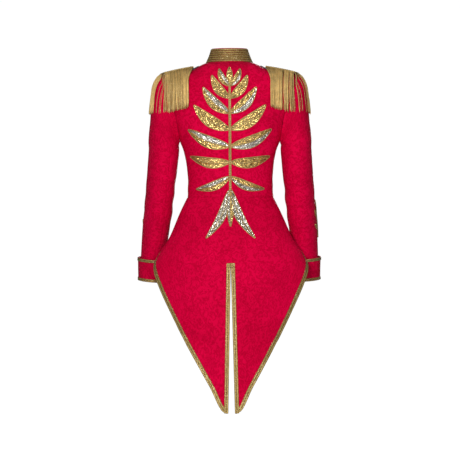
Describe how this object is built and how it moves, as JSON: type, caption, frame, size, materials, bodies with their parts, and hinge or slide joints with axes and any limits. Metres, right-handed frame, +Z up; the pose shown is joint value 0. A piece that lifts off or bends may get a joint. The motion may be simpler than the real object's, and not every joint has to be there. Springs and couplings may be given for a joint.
{
  "type": "tailcoat",
  "caption": "Cropped tailcoat with flared swallow tails, stand collar, fringed epaulettes, gold braid edging and a raised leaf spray down the back.",
  "frame": {"origin": "middle of the neck opening at the height where the collar meets the shoulder seams, the level the coat hangs from", "axes": "+Z up, -Y the wearer's front, +X the wearer's left"},
  "size_m": [0.5465, 0.2679, 1.0702],
  "materials": {
    "cloth": "crimson brocade",
    "braid": "woven metallic gold braid",
    "fringe": "twisted gold rayon fringe",
    "sequins": "gold and silver sequins",
    "felt": "black felt",
    "button": "polished"
  },
  "bodies": {
    "root": {"back_left": "cloth", "back_right": "cloth", "front_left": "cloth", "front_right": "cloth", "tail_left": "cloth", "tail_right": "cloth", "sleeve_top_left": "cloth", "sleeve_top_right": "cloth", "sleeve_under_left": "cloth", "sleeve_under_right": "cloth", "cuff_left": "cloth", "cuff_right": "cloth", "collar": "cloth", "collar_braid_1": "braid", "collar_braid_2": "braid", "collar_braid_3": "braid", "collar_braid_4": "braid", "collar_braid_5": "braid", "collar_braid_6": "braid", "cuff_braid_top_left": "braid", "cuff_braid_top_right": "braid", "cuff_braid_hem_left": "braid", "cuff_braid_hem_right": "braid", "hem_braid_left": "braid", "hem_braid_right": "braid", "vent_braid_left": "braid", "vent_braid_right": "braid", "vent_bar": "braid", "epaulette_felt_left": "felt", "epaulette_felt_right": "felt", "epaulette_board_left": "braid", "epaulette_board_right": "braid", "epaulette_fringe_left": "fringe", "epaulette_fringe_right": "fringe", "spray_back": "sequins", "spray_sleeve_left": "sequins", "spray_sleeve_right": "sequins", "button_1": "button", "button_2": "button", "button_3": "button", "button_4": "button", "button_5": "button", "button_6": "button"}
  },
  "joints": []
}
